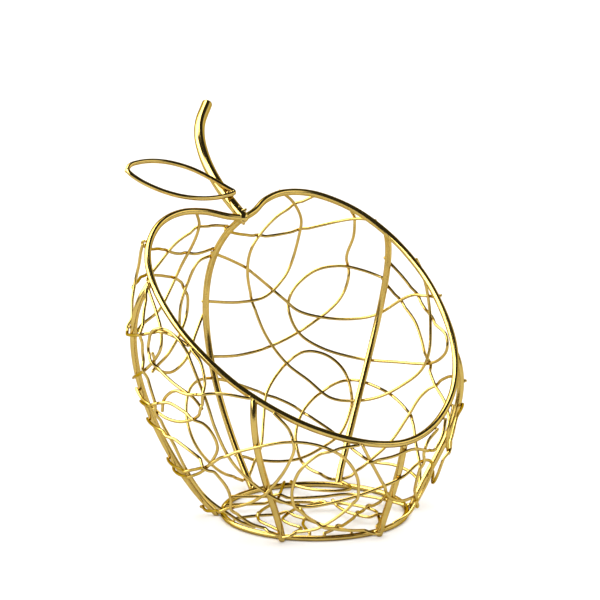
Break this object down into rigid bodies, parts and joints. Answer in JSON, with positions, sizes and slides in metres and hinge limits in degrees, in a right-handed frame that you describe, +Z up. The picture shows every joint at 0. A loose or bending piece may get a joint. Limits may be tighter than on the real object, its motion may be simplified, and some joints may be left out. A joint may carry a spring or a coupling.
{
  "type": "wire produce basket",
  "caption": "Apple-shaped open wire basket for fruit and produce: slanting rim with a notch, curved ribs, looping fill wires, a bent stem and a leaf loop, standing on a ring",
  "frame": {"origin": "middle of the whole basket's outline in plan, on the plane that the base ring stands on", "axes": "+Z up, -Y the low front of the slanting rim, +Y the tall back with the stem, +X the basket's right seen from the front"},
  "size_m": [0.2636, 0.273, 0.272],
  "materials": {
    "frame_rod": "polished",
    "stem_and_leaf": "polished",
    "fill_wire": "polished"
  },
  "bodies": {
    "root": {"base_ring": "frame_rod", "rim_hoop": "frame_rod", "rib_back": "frame_rod", "rib_front": "frame_rod", "rib_front_left": "frame_rod", "rib_front_right": "frame_rod", "rib_back_left": "frame_rod", "rib_back_right": "frame_rod", "stem": "stem_and_leaf", "leaf_loop": "stem_and_leaf", "wall_wire_01": "fill_wire", "wall_wire_02": "fill_wire", "wall_wire_03": "fill_wire", "wall_wire_04": "fill_wire", "wall_wire_05": "fill_wire", "wall_wire_06": "fill_wire", "wall_wire_07": "fill_wire", "wall_wire_08": "fill_wire", "wall_wire_09": "fill_wire", "wall_wire_10": "fill_wire", "wall_wire_11": "fill_wire", "wall_wire_12": "fill_wire", "wall_wire_13": "fill_wire", "wall_wire_14": "fill_wire", "wall_wire_15": "fill_wire", "wall_wire_16": "fill_wire", "wall_wire_17": "fill_wire", "wall_wire_18": "fill_wire", "wall_wire_19": "fill_wire", "wall_wire_20": "fill_wire", "wall_wire_21": "fill_wire", "wall_wire_22": "fill_wire", "wall_wire_23": "fill_wire", "wall_wire_24": "fill_wire", "wall_wire_25": "fill_wire", "wall_wire_26": "fill_wire", "wall_wire_27": "fill_wire", "wall_wire_28": "fill_wire", "wall_wire_29": "fill_wire", "wall_wire_30": "fill_wire", "wall_wire_31": "fill_wire", "wall_wire_32": "fill_wire", "floor_wire_01": "fill_wire", "floor_wire_02": "fill_wire", "floor_wire_03": "fill_wire", "floor_wire_04": "fill_wire", "floor_wire_05": "fill_wire", "floor_wire_06": "fill_wire", "floor_wire_07": "fill_wire", "floor_wire_08": "fill_wire", "floor_wire_09": "fill_wire"}
  },
  "joints": []
}
